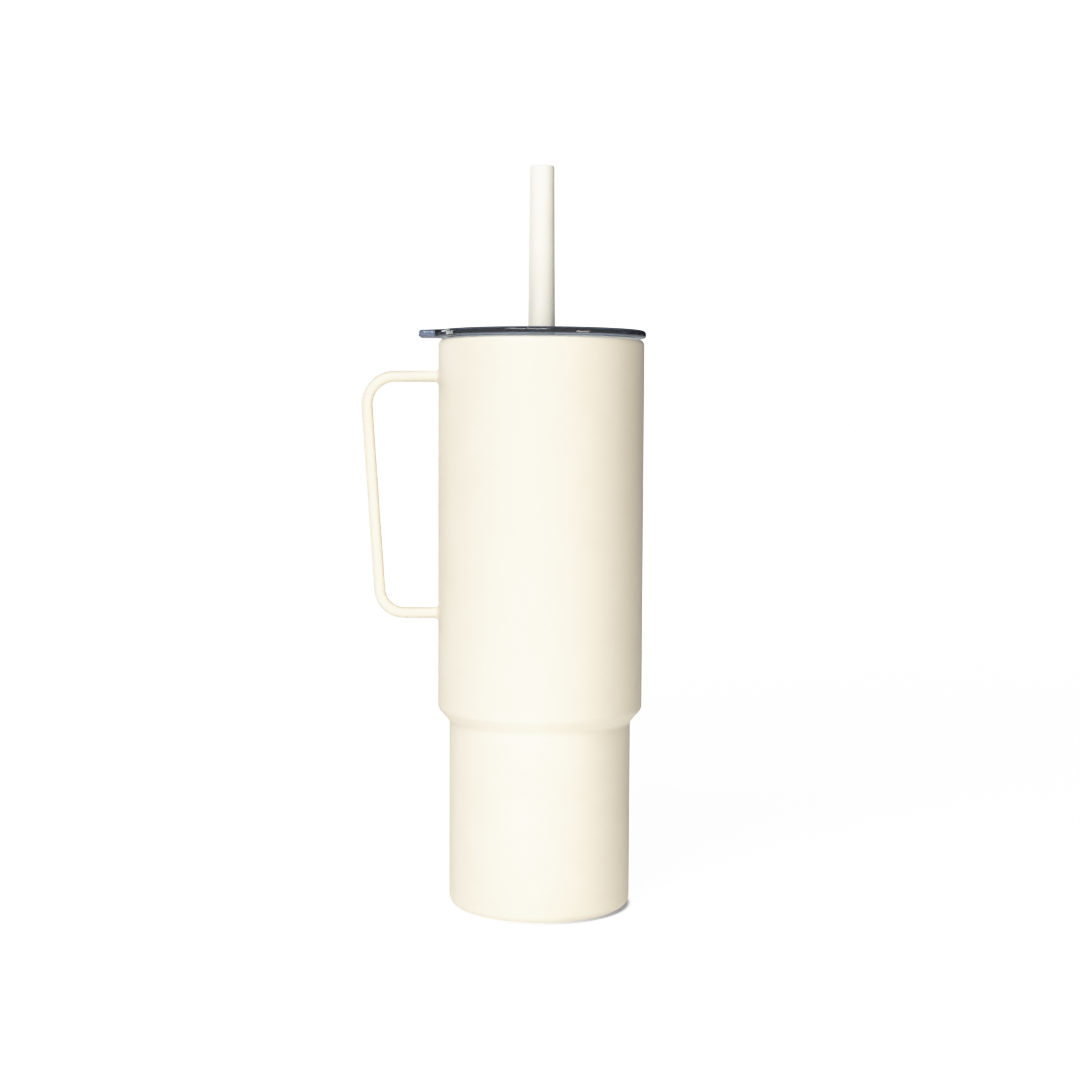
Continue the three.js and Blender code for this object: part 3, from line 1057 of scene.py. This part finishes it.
@dataclass
class Vessel(SubAssembly):
    """Double-walled vessel: coated shell, bare liner, base and what the vacuum space holds."""

    sides: int = 192
    lower_radius: float = 38.5
    step_bottom: float = 78.8
    step_top: float = 84.3
    base_fillet: float = 4.0
    curl_width: float = 2.0
    shoulder: float = 3.0
    shell_wall: float = 0.8
    liner_wall: float = 0.6
    vacuum_gap: float = 2.84
    step_blend: float = 3.2
    foot_curl: float = 0.3
    liner_foot: float = 1.2
    liner_corner: float = 1.5
    liner_floor: float = 2.0
    liner_flare: float = 0.3
    lip_gap: float = 0.02
    disc_round: float = 0.15
    ring_slope: float = 0.5
    ring_width: float = 1.2
    ring_depth: float = 0.2
    shell: Extent = field(init=False)
    liner: Extent = field(init=False)

    def __post_init__(self) -> None:
        """Reads the vessel's heights and radii from the frame."""
        self.shell = Extent.of("outer_shell")
        self.liner = Extent.of("inner_liner")

    def walls(self, inset: float) -> tuple[float, float, float, float]:
        """The stepped barrel moved inwards by a wall's distance.

        Args:
            inset: how far inwards, in millimetres.

        Returns:
            The lower radius, the step's foot, the upper radius and the step's head.
        """
        upper_radius = self.shell.high.y
        flare = math.atan2(upper_radius - self.lower_radius, self.step_top - self.step_bottom)
        lift = inset * math.tan(flare / 2)
        return (
            self.lower_radius - inset,
            self.step_bottom + lift,
            upper_radius - inset,
            self.step_top + lift,
        )

    def build(self) -> None:
        """Builds and dresses every piece."""
        self.build_shell()
        self.build_liner()
        self.build_base()
        for node, slot in (
            ("foil_wrap", Slot.FOIL),
            ("outer_base", Slot.STEEL),
            ("vacuum_seal", Slot.BEAD),
            ("getter_pellet", Slot.GETTER),
            ("getter_strap", Slot.STEEL),
        ):
            self.keep(node, slot)

    def build_shell(self) -> None:
        """Turns the coated shell with its curled foot, blended step and rounded shoulder."""
        top = self.shell.high.z
        wall = self.shell_wall
        low, foot, high, head = self.walls(0)
        low_in, foot_in, high_in, head_in = self.walls(wall)
        ring = low - self.base_fillet - self.curl_width
        lip = high - self.shoulder
        section = [
            Corner(ring, 0, self.foot_curl, 3),
            Corner(low, 0, self.base_fillet, 10),
            Corner(low, foot, self.step_blend, 6),
            Corner(high, head, self.step_blend, 6),
            Corner(high, top, self.shoulder, 8),
            Corner(lip, top),
            Corner(lip, top - wall),
            Corner(high_in, top - wall, self.shoulder - wall, 6),
            Corner(high_in, head_in, self.step_blend, 6),
            Corner(low_in, foot_in, self.step_blend, 6),
            Corner(low_in, wall, self.base_fillet - wall, 8),
            Corner(ring, wall, self.foot_curl, 3),
        ]
        piece = Bench.turn("shell_coat", section, self.sides)
        self.install(piece, Body.VESSEL, Slot.COAT, ["outer_shell"])

    def build_liner(self) -> None:
        """Turns the bare liner with a rounded lip over the rim and a rounded foot."""
        top = self.liner.high.z
        bottom = self.liner.low.z
        wall = self.liner_wall
        outside = self.shell_wall + self.vacuum_gap
        low, foot, high, head = self.walls(outside)
        low_in, foot_in, high_in, head_in = self.walls(outside + wall)
        lip = self.shell.high.y - self.shoulder - self.lip_gap
        section = [
            Corner(low, bottom, self.liner_foot, 3),
            Corner(low, foot, self.step_blend, 5),
            Corner(high, head, self.step_blend, 5),
            Corner(high, top - 3 * wall),
            Corner(lip, top - 2 * wall),
            Corner(lip, top),
            Corner(high_in, top, wall, 5),
            Corner(high_in, head_in, self.step_blend, 5),
            Corner(low_in, foot_in, self.step_blend, 5),
            Corner(low_in, bottom + self.liner_floor, self.liner_corner),
            Corner(low_in - self.liner_flare, bottom),
        ]
        piece = Bench.turn("liner_wall", section, self.sides)
        self.install(piece, Body.VESSEL, Slot.STEEL, ["inner_liner"])

    def build_base(self) -> None:
        """Makes the liner's floor with its pressed ring, and the cover under the foot with two."""
        self.build_disc("liner_floor", "inner_base", 0.80, (1,))
        self.build_disc("foot_cover", "base_cover", 0.88, (1, -1))

    def build_disc(self, label: str, node: str, web: float, faces: Sequence[int]) -> None:
        """Makes a disc with a ring pressed into it.

        Args:
            label: the piece's name.
            node: the frame node that it stands for.
            web: the ring's radius as a share of the disc's.
            faces: which of its faces have the ring, 1 for the upper and -1 for the lower.
        """
        extent = Extent.of(node)
        bottom, top, radius = extent.low.z, extent.high.z, extent.high.y
        piece = Bench.disc(label, Vector((0, 0, bottom)), radius, top - bottom, self.disc_round, self.sides)
        Bench.edit()
        for face in faces:
            Bench.pick("FACE", Bench.level(top if face == 1 else bottom))
            for width, depth in (
                (radius * (1 - web), 0.0),
                (self.ring_slope, -self.ring_depth),
                (self.ring_width, 0.0),
                (self.ring_slope, self.ring_depth),
            ):
                bpy.ops.mesh.inset(thickness=width * MM, depth=depth * MM)
        Bench.close()
        self.install(piece, Body.VESSEL, Slot.STEEL, [node], crease=20.0)


@dataclass
class Handle(SubAssembly):
    """Bent round rod, welded to the barrel at both ends."""

    sides: int = 40
    bend_steps: int = 24
    lean: float = math.radians(3.9)
    upper_bend: float = 12.0
    lower_bend: float = 10.5
    weld_spread: float = 1.5
    weld_steps: int = 6
    weld_gap: float = 0.05
    weld_lip: float = 0.02
    weld_collar: float = 0.1
    weld_wall: float = 0.4
    bury: float = 0.3
    radius: float = field(init=False)
    barrel: float = field(init=False)
    upper_arm: float = field(init=False)
    lower_arm: float = field(init=False)
    reach: float = field(init=False)

    def __post_init__(self) -> None:
        """Reads the rod's radius, its two arms' heights and its reach from the frame."""
        rod = Extent.of("handle_rod")
        self.radius = rod.high.y
        self.barrel = Extent.of("outer_shell").high.y
        self.upper_arm = rod.high.z - self.radius
        self.lower_arm = rod.low.z + self.radius
        self.reach = -(rod.low.x + self.radius)

    def build(self) -> None:
        """Builds and dresses the rod and its two welds."""
        self.build_rod()
        self.build_weld("upper_flare", "upper_weld", self.upper_arm)
        self.build_weld("lower_flare", "lower_weld", self.lower_arm)

    def build_rod(self) -> None:
        """Bends the rod: an arm, a bend, the leaning grip, a bend and an arm."""
        # The centre line's farthest point is on the upper bend, so the grip's line is found from there.
        upper_centre = Vector((-(self.reach - self.upper_bend), 0, self.upper_arm - self.upper_bend))
        grip_at_upper = upper_centre.x - self.upper_bend / math.cos(self.lean)
        lower_z = self.lower_arm + self.lower_bend
        grip_at_lower = grip_at_upper + (upper_centre.z - lower_z) * math.tan(self.lean)
        lower_centre = Vector((grip_at_lower + self.lower_bend / math.cos(self.lean), 0, lower_z))
        start = -(self.barrel - self.bury)
        Bench.clear()
        bpy.ops.mesh.primitive_circle_add(
            vertices=self.sides,
            radius=self.radius * MM,
            location=Vector((start, 0, self.upper_arm)) * MM,
            rotation=(0, math.pi / 2, 0),
        )
        Bench.settle()
        Bench.edit()
        bpy.ops.mesh.edge_face_add()
        Bench.draw_to(Vector((upper_centre.x - start, 0, 0)))
        self.bend(upper_centre, math.pi / 2 + self.lean)
        along = Vector((math.sin(self.lean), 0, -math.cos(self.lean)))
        outward = Vector((-math.cos(self.lean), 0, -math.sin(self.lean)))
        grip_top = upper_centre + outward * self.upper_bend
        grip_foot = lower_centre + outward * self.lower_bend
        Bench.draw_to(along * (grip_foot - grip_top).length)
        self.bend(lower_centre, math.pi / 2 - self.lean)
        Bench.draw_to(Vector((start - lower_centre.x, 0, 0)))
        Bench.close()
        self.install(Bench.name("handle_bar"), Body.VESSEL, Slot.COAT, ["handle_rod"])

    def bend(self, centre: Vector, angle: float) -> None:
        """Sweeps the rod's open end round a bend.

        Args:
            centre: the bend's centre, in millimetres.
            angle: how far it turns.
        """
        Bench.sweep(centre, Vector((0, -1, 0)), angle, self.bend_steps)

    def build_weld(self, label: str, node: str, height: float) -> None:
        """Turns a hollow-sided weld fillet about one arm.

        Args:
            label: the piece's name.
            node: the frame node that it stands for.
            height: the arm's height.
        """
        spread = self.weld_spread
        turns = [math.pi / 2 * i / self.weld_steps for i in range(self.weld_steps + 1)]
        start = self.radius + self.weld_gap
        inner = self.radius - self.weld_wall
        head = spread + self.weld_collar
        section = [
            Corner(inner, head),
            Corner(self.radius + self.weld_lip, head),
            *[Corner(start + spread * (1 - math.cos(t)), spread * (1 - math.sin(t))) for t in turns],
            Corner(start + spread, -self.bury),
            Corner(inner, -self.bury),
        ]
        foot = Vector((-self.barrel, 0, height))
        piece = Bench.turn(label, section, self.sides, foot, Vector((-1, 0, 0)))
        self.install(piece, Body.VESSEL, Slot.COAT, [node], crease=60.0)


@dataclass
class Lid(SubAssembly):
    """Tinted clear lid with its seal."""

    sides: int = 192
    tab_width: float = 18.0
    tab_corner: float = 3.0
    tab_fillet: float = 2.5
    corner_steps: int = 12
    blend_steps: int = 10
    upper_round: float = 1.4
    lower_round: float = 0.8
    round_steps: int = 8
    dish_radius: float = 37.5
    dish_depth: float = 0.8
    skirt_wall: float = 2.2
    groove_top: float = 3.4
    groove_height: float = 5.0
    groove_depth: float = 0.9
    collar_wall: float = 2.2
    collar_depth: float = 5.5
    hole_spare: float = 0.3
    skirt_depth: float = 12.0
    seam_radius: float = 41.0
    seam_spare: float = 0.05
    seal_proud: float = 0.9
    seal_gap: float = 0.3
    seal_lip: float = 0.75
    seal_edge: float = 0.2
    web_fillet: float = 0.3
    lip_round: float = 0.25
    dish_slope: float = 0.3
    dish_edge: float = 0.4
    dish_foot: float = 0.35
    hole_edge: float = 0.3
    foot_edge: float = 0.5
    root_fillet: float = 0.8
    skirt_lead: float = 0.7
    groove_edge: float = 0.2
    vent_radius: float = 1.025
    vent_taper: float = 0.125
    vent_offset: float = 24.0
    plate: Extent = field(init=False)
    seal: Extent = field(init=False)

    def __post_init__(self) -> None:
        """Reads the lid's heights and radii from the frame."""
        self.plate = Extent.of("lid_plate")
        self.seal = Extent.of("lid_gasket")

    def build(self) -> None:
        """Builds and dresses the lid and its seal."""
        self.build_plate()
        self.build_seal()

    def build_plate(self) -> None:
        """Makes the lid's edge with its tab, turns its middle, and bridges the two."""
        top = self.plate.high.z
        bottom = self.plate.low.z + self.skirt_depth
        edge = self.build_edge(bottom, top)
        middle = self.build_middle(bottom, top)
        piece = Bench.join("lid_moulding", [middle, edge])
        Bench.edit()
        for level in (top, bottom):
            Bench.pick("EDGE", lambda point, z=level: Bench.level(z)(point) and self.outside(point))
            bpy.ops.mesh.bridge_edge_loops()
        Bench.close()
        Bench.cut(piece, self.vent_drill(bottom, top))
        self.install(piece, Body.LID, Slot.LID, ["lid_plate"], crease=25.0)

    def outside(self, point: Vector) -> bool:
        """Tells whether a point is on the seam between the lid's middle and its edge, or beyond it."""
        return math.hypot(point.x, point.y) > self.seam_radius - self.seam_spare

    def build_edge(self, bottom: float, top: float) -> bpy.types.Object:
        """The outside of the plate: a disc with a straight-sided tab, blended in by hollow fillets.

        Args:
            bottom: height of the plate's underside.
            top: height of its upper face.

        Returns:
            An open band with its upper and lower edges rounded.
        """
        radius = self.plate.high.y
        half = self.tab_width / 2
        tip = -self.plate.low.x
        fillet_y = half + self.tab_fillet
        fillet_x = math.sqrt((radius + self.tab_fillet) ** 2 - fillet_y**2)
        corner_x = tip - self.tab_corner
        corner_y = half - self.tab_corner
        angle = math.atan2(fillet_y, fillet_x)
        blend = (angle - math.pi / 2, self.blend_steps)
        corner = (math.pi / 2, self.corner_steps)
        side = Vector((corner_x - fillet_x, 0, 0))
        strokes = (
            (Vector((0, 0, bottom)), TURN - 2 * angle, self.sides),
            (Vector((-fillet_x, fillet_y, bottom)), *blend),
            -side,
            (Vector((-corner_x, corner_y, bottom)), *corner),
            Vector((0, -2 * corner_y, 0)),
            (Vector((-corner_x, -corner_y, bottom)), *corner),
            side,
            (Vector((-fillet_x, -fillet_y, bottom)), *blend),
        )
        Bench.start_point(Vector((-radius * math.cos(angle), -radius * math.sin(angle), bottom)))
        for stroke in strokes:
            if isinstance(stroke, Vector):
                Bench.draw_to(stroke)
            else:
                centre, turn, steps = stroke
                Bench.sweep(centre, UP, turn, steps)
        bpy.ops.mesh.select_all(action="SELECT")
        bpy.ops.mesh.remove_doubles(threshold=WELD_DISTANCE)
        bpy.ops.mesh.edge_face_add()
        Bench.draw_to(Vector((0, 0, top - bottom)))
        for level, rounding in ((bottom, self.lower_round), (top, self.upper_round)):
            Bench.pick("EDGE", Bench.level(level))
            Bench.fillet(rounding, self.round_steps)
            Bench.pick("FACE", Bench.level(level))
            bpy.ops.mesh.delete(type="ONLY_FACE")
        Bench.close()
        return Bench.name("lid_edge")

    def build_middle(self, bottom: float, top: float) -> bpy.types.Object:
        """The round middle: dish, straw collar, skirt and seal groove.

        Args:
            bottom: height of the plate's underside.
            top: height of its upper face.

        Returns:
            The turned middle, open at its outer wall.
        """
        skirt = self.seal.high.y - self.seal_proud
        skirt_in = skirt - self.skirt_wall
        groove = skirt - self.groove_depth
        groove_high = bottom - self.groove_top
        groove_low = groove_high - self.groove_height
        foot = bottom - self.skirt_depth
        dish = top - self.dish_depth
        hole = self.hole_radius()
        collar = hole + self.collar_wall
        collar_foot = bottom - self.collar_depth
        section = [
            Corner(self.seam_radius, top),
            Corner(self.dish_radius, top, self.dish_edge),
            Corner(self.dish_radius - self.dish_slope, dish, self.dish_foot),
            Corner(hole, dish, self.hole_edge),
            Corner(hole, collar_foot, self.hole_edge),
            Corner(collar, collar_foot, self.foot_edge),
            Corner(collar, bottom, self.root_fillet, 5),
            Corner(skirt_in, bottom, self.root_fillet, 5),
            Corner(skirt_in, foot, self.foot_edge),
            Corner(skirt, foot, self.skirt_lead),
            Corner(skirt, groove_low, self.groove_edge, 3),
            Corner(groove, groove_low, self.groove_edge, 3),
            Corner(groove, groove_high, self.groove_edge, 3),
            Corner(skirt, groove_high, self.groove_edge, 3),
            Corner(skirt, bottom, self.foot_edge),
            Corner(self.seam_radius, bottom),
        ]
        piece = Bench.turn("lid_middle", section, self.sides)
        Bench.edit()
        Bench.pick("FACE", self.outside)
        bpy.ops.mesh.delete(type="ONLY_FACE")
        bpy.ops.object.mode_set(mode="OBJECT")
        return piece

    def hole_radius(self) -> float:
        """Works out the straw's hole from the mouthpiece that passes through it.

        Returns:
            The hole's radius.
        """
        mouth = Extent.of("straw_mouthpiece")
        return Straw.tip_radius + Straw.draft * (mouth.high.z - mouth.low.z) + self.hole_spare

    def vent_drill(self, bottom: float, top: float) -> bpy.types.Object:
        """A tapered drill that cuts the vent.

        Args:
            bottom: height of the plate's underside.
            top: height of its upper face.

        Returns:
            The tool.
        """
        Bench.clear()
        bpy.ops.mesh.primitive_cone_add(
            vertices=32,
            radius1=(self.vent_radius + self.vent_taper) * MM,
            radius2=(self.vent_radius - self.vent_taper) * MM,
            depth=(top - bottom + 2) * MM,
            location=Vector((self.vent_offset, 0, (top + bottom) / 2)) * MM,
        )
        Bench.settle()
        return Bench.name("vent_drill")

    def build_seal(self) -> None:
        """Turns the seal with its two soft lips."""
        bottom, top, lip = self.seal.low.z, self.seal.high.z, self.seal.high.y
        inner = lip - self.seal_proud - self.groove_depth + self.seal_gap
        web = lip - self.seal_lip
        lip_height = (top - bottom) / 4
        section = [
            Corner(inner, bottom, self.seal_edge, 3),
            Corner(web, bottom, self.web_fillet, 3),
            Corner(lip, bottom + lip_height, self.lip_round),
            Corner(web, bottom + 2 * lip_height, self.web_fillet),
            Corner(lip, top - lip_height, self.lip_round),
            Corner(web, top, self.web_fillet, 3),
            Corner(inner, top, self.seal_edge, 3),
        ]
        piece = Bench.turn("seal_ring", section, self.sides)
        self.install(piece, Body.SEAL, Slot.SEAL, ["lid_gasket"], crease=50.0)


@dataclass
class Straw(SubAssembly):
    """Soft tapered mouthpiece on a stiff notched tube."""

    tip_radius: float = 5.1
    draft: float = 0.008
    sides: int = 64
    bore: float = 3.6
    flange_height: float = 3.0
    tube_wall: float = 0.8
    notch_width: float = 3.0
    notch_height: float = 4.0
    notch_round: float = 1.425
    socket_depth: float = 16.0
    socket_gap: float = 0.1
    flange_fillet: float = 0.8
    tip_round: float = 0.55
    socket_edge: float = 0.2
    tube_edge: float = 0.25

    def build(self) -> None:
        """Builds and dresses the mouthpiece and the tube."""
        self.build_mouthpiece()
        self.build_tube()

    def build_mouthpiece(self) -> None:
        """Turns the mouthpiece: a rounded open tip, a slight taper, a stop flange and a socket."""
        extent = Extent.of("straw_mouthpiece")
        low, high = extent.low.z, extent.high.z
        flange = extent.high.y
        flange_top = low + self.flange_height
        socket = Extent.of("straw_tube").high.y + self.socket_gap
        body = self.tip_radius + self.draft * (high - flange_top)
        section = [
            Corner(socket, low, self.socket_edge, 3),
            Corner(flange, low, self.flange_fillet, 5),
            Corner(flange, flange_top, self.flange_fillet, 5),
            Corner(body, flange_top, self.flange_fillet, 5),
            Corner(self.tip_radius, high, self.tip_round, 6),
            Corner(self.bore, high, self.tip_round, 6),
            Corner(self.bore, low + self.socket_depth, self.socket_edge, 3),
            Corner(socket, low + self.socket_depth, self.socket_edge, 3),
        ]
        piece = Bench.turn("mouthpiece", section, self.sides)
        self.install(piece, Body.STRAW, Slot.MOUTH, ["straw_mouthpiece"])

    def build_tube(self) -> None:
        """Turns the tube and cuts the notches in its foot."""
        extent = Extent.of("straw_tube")
        low, high, radius = extent.low.z, extent.high.z, extent.high.y
        bore = radius - self.tube_wall
        corners = ((bore, low), (radius, low), (radius, high), (bore, high))
        section = [Corner(across, height, self.tube_edge, 3) for across, height in corners]
        piece = Bench.turn("tube", section, self.sides)
        Bench.cut(piece, self.notch_tool(low, radius))
        self.install(piece, Body.STRAW, Slot.TUBE, ["straw_tube"])

    def notch_tool(self, low: float, radius: float) -> bpy.types.Object:
        """A round-topped bar that cuts the notches.

        Args:
            low: height of the tube's foot.
            radius: the tube's radius.

        Returns:
            The tool.
        """
        half = self.notch_width / 2
        Bench.start_point(Vector((-half, -2 * radius, low - 1)))
        for step in (
            Vector((self.notch_width, 0, 0)),
            Vector((0, 0, 1 + self.notch_height)),
            Vector((0, 4 * radius, 0)),
        ):
            Bench.draw_to(step)
            bpy.ops.mesh.select_all(action="SELECT")
        top = low + self.notch_height - TOUCH
        Bench.pick("EDGE", lambda point: point.z > top and abs(abs(point.x) - half) < TOUCH)
        Bench.fillet(self.notch_round, 6)
        Bench.close()
        return Bench.name("notch_tool")


# ------------------------------------------------------------ studio


@dataclass(frozen=True)
class SoftBox:
    """A soft rectangular light.

    Attributes:
        name: its name.
        azimuth: where it stands, in degrees from the camera's side towards the right.
        height: of its middle, in millimetres.
        watts: its power.
        distance: from the axis, in millimetres.
        width: of its panel, in millimetres.
        tall: height of its panel, in millimetres.
        colour: its tint.
    """

    name: str
    azimuth: float
    height: float
    watts: float
    distance: float = 1300.0
    width: float = 350.0
    tall: float = 500.0
    colour: Rgb = (1.0, 1.0, 1.0)

    def place(self, aim: Vector) -> None:
        """Adds the light, facing a point.

        Args:
            aim: where it faces, in millimetres.
        """
        turn = math.radians(self.azimuth)
        at = Vector((math.sin(turn) * self.distance, -math.cos(turn) * self.distance, self.height))
        data = bpy.data.lights.new(self.name, "AREA")
        data.shape = "RECTANGLE"
        data.size = self.width * MM
        data.size_y = self.tall * MM
        data.energy = self.watts
        data.color = self.colour
        lamp = bpy.data.objects.new(self.name, data)
        bpy.context.collection.objects.link(lamp)
        lamp.location = at * MM
        lamp.rotation_euler = (aim - at).to_track_quat("-Z", "Y").to_euler()


@dataclass
class Studio:
    """Pale sweep, soft lights and the camera."""

    camera_distance: float = 790.8
    camera_height: float = 207.7
    camera_side: float = -0.24
    pitch: float = math.radians(3.78)
    roll: float = math.radians(0.265)
    lens: float = 62.27
    floor_size: float = 30000.0
    floor_shade: float = 0.50
    seen_glow: float = 1.09
    far_glow: float = 1.32
    near_radius: float = 500.0
    far_radius: float = 1500.0
    cast_glow: float = 0.30
    bounce_glow: float = 1.25
    bounce_radius: float = 350.0
    contact_reach: float = 3.2
    contact_from: float = -20.0
    contact_to: float = 35.0
    contact_left: float = 0.85
    contact_right: float = 0.25
    closed_sky: float = 0.45
    open_sky: float = 0.95
    world_light: float = 0.0
    white: float = 1.32
    nearest: float = 10.0
    farthest: float = 100000.0
    aim: Vector = field(default_factory=lambda: Vector((0, 0, 150)))
    bounce_at: Vector = field(default_factory=lambda: Vector((-60, -250, 0)))
    tone: tuple[tuple[float, float], ...] = (
        (0.38, 0.38),
        (0.58, 0.615),
        (0.70, 0.74),
        (0.80, 0.83),
        (0.90, 0.90),
        (1.0, 0.948),
        (1.1, 0.966),
    )
    boxes: tuple[SoftBox, ...] = (
        SoftBox("key", azimuth=-18, height=1300, distance=1400, width=1400, tall=800, watts=30.3),
        SoftBox("rear_fill", azimuth=-140, height=600, watts=1.9),
        SoftBox("side_fill", azimuth=-120, height=300, watts=2.2),
        SoftBox("low_fill", azimuth=45, height=60, watts=4.3, colour=(1.0, 0.93, 0.82)),
    )

    def build(self) -> None:
        """Builds the studio."""
        self.build_floor()
        self.build_world()
        for box in self.boxes:
            box.place(self.aim)
        self.build_camera()
        self.set_tone()

    def set_tone(self) -> None:
        """Rolls the brightest tones off gently, up to the level that shows as white."""
        view = bpy.context.scene.view_settings
        view.view_transform = "Standard"
        view.look = "None"
        view.use_curve_mapping = True
        mapping = view.curve_mapping
        mapping.use_clip = False
        curve = mapping.curves[3]  # the one that acts on all three colours
        curve.points[1].location = (self.white, 1.0)
        for given, shown in self.tone:
            curve.points.new(given, shown)
        for point in curve.points:
            point.handle_type = "VECTOR"
        mapping.update()

    def build_floor(self) -> None:
        """Lays a white floor that can be seen through from below."""
        Bench.clear()
        bpy.ops.mesh.primitive_grid_add(
            x_subdivisions=8, y_subdivisions=8, size=self.floor_size * MM
        )
        floor = Bench.name("floor")
        material = bpy.data.materials.new("floor")
        material.use_nodes = True
        material.node_tree.nodes.clear()
        recipe = Recipe(material.node_tree)
        place = recipe.add("TexCoord").outputs["Object"]
        contact = self.contact(recipe, place)
        diffuse = recipe.add("BsdfDiffuse", Color=recipe.maths("MULTIPLY", contact, self.floor_shade))
        away = recipe.add("VectorMath", operation="LENGTH")
        recipe.feed(away, 0, place)
        near, far = self.near_radius * MM, self.far_radius * MM
        plain = recipe.spread(away.outputs["Value"], near, far, self.seen_glow, self.far_glow)
        seen = recipe.maths("MULTIPLY", contact, plain)
        strength = recipe.spread(self.shown(recipe), 0.0, 1.0, self.bounce(recipe, place), seen)
        glow = recipe.add("Emission", Color=WHITE, Strength=strength)
        lit = recipe.add("AddShader")
        recipe.feed(lit, 0, diffuse.outputs[0])
        recipe.feed(lit, 1, glow.outputs[0])
        under = recipe.add("NewGeometry").outputs["Backfacing"]
        sides = recipe.mix_shaders(under, lit, recipe.add("BsdfTransparent"))
        recipe.add("OutputMaterial", Surface=sides)
        floor.data.materials.append(material)

    def contact(self, recipe: Recipe, place: bpy.types.NodeSocket) -> bpy.types.NodeSocket:
        """The shade where the object meets the floor, deeper on the side away from the key light.

        Args:
            recipe: the floor's material.
            place: object coordinates.

        Returns:
            The share of the light that is left.
        """
        across = recipe.add("SeparateXYZ", Vector=place).outputs["X"]
        left, right = self.contact_from * MM, self.contact_to * MM
        darkest = recipe.spread(across, left, right, self.contact_left, self.contact_right)
        sky = recipe.add("AmbientOcclusion", Distance=self.contact_reach * MM).outputs["AO"]
        return recipe.spread(sky, self.closed_sky, self.open_sky, darkest, 1.0)

    def bounce(self, recipe: Recipe, place: bpy.types.NodeSocket) -> bpy.types.NodeSocket:
        """The light that the floor casts: even, and stronger in a pool before the object.

        Args:
            recipe: the floor's material.
            place: object coordinates.

        Returns:
            Its strength.
        """
        away = recipe.add("VectorMath", operation="DISTANCE")
        recipe.feed(away, 0, place)
        recipe.feed(away, 1, self.bounce_at * MM)
        pool = recipe.add("MapRange", interpolation_type="SMOOTHSTEP", Value=away.outputs["Value"])
        edges = (0.0, self.bounce_radius * MM, self.bounce_glow, 0.0)
        for socket, value in enumerate(edges, start=1):
            recipe.feed(pool, socket, value)
        return recipe.maths("ADD", pool.outputs[0], self.cast_glow)

    @staticmethod
    def shown(recipe: Recipe) -> bpy.types.NodeSocket:
        """Tells light that reaches the camera, straight or through clear plastic, from light that is cast.

        Args:
            recipe: the backdrop's material.

        Returns:
            1 for seen light and 0 for cast light.
        """
        path = recipe.add("LightPath")
        return recipe.maths("MAXIMUM", path.outputs["Is Camera Ray"], path.outputs["Is Transmission Ray"])

    def build_world(self) -> None:
        """Makes a white surround that lights the object less than it shows."""
        world = bpy.data.worlds.new("studio")
        world.use_nodes = True
        world.node_tree.nodes.clear()
        recipe = Recipe(world.node_tree)
        seen = recipe.add("Background", Color=WHITE, Strength=self.white)
        light = recipe.add("Background", Color=WHITE, Strength=self.world_light)
        recipe.add("OutputWorld", Surface=recipe.mix_shaders(self.shown(recipe), light, seen))
        bpy.context.scene.world = world

    def build_camera(self) -> None:
        """Stands the camera in front of the object, a little above its middle."""
        data = bpy.data.cameras.new("camera")
        data.lens = self.lens
        camera = bpy.data.objects.new("camera", data)
        bpy.context.collection.objects.link(camera)
        camera.location = Vector((self.camera_side, -self.camera_distance, self.camera_height)) * MM
        look = Vector((0, math.cos(self.pitch), -math.sin(self.pitch)))
        turn = look.to_track_quat("-Z", "Y").to_matrix()
        camera.rotation_euler = turn.to_euler()
        camera.rotation_euler.rotate_axis("Z", self.roll)
        data.clip_start = self.nearest * MM
        data.clip_end = self.farthest * MM
        bpy.context.scene.camera = camera


# ------------------------------------------------------------ assembly


def main() -> None:
    """Builds the object's sub-assemblies and the studio round them."""
    logging.basicConfig(level=logging.INFO, format="%(name)s %(message)s")
    paints = Paintbox()
    for sub_assembly in (Vessel(paints), Handle(paints), Lid(paints), Straw(paints)):
        sub_assembly.build()
    Studio().build()
    Bench.clear()


if __name__ == "__main__":
    main()
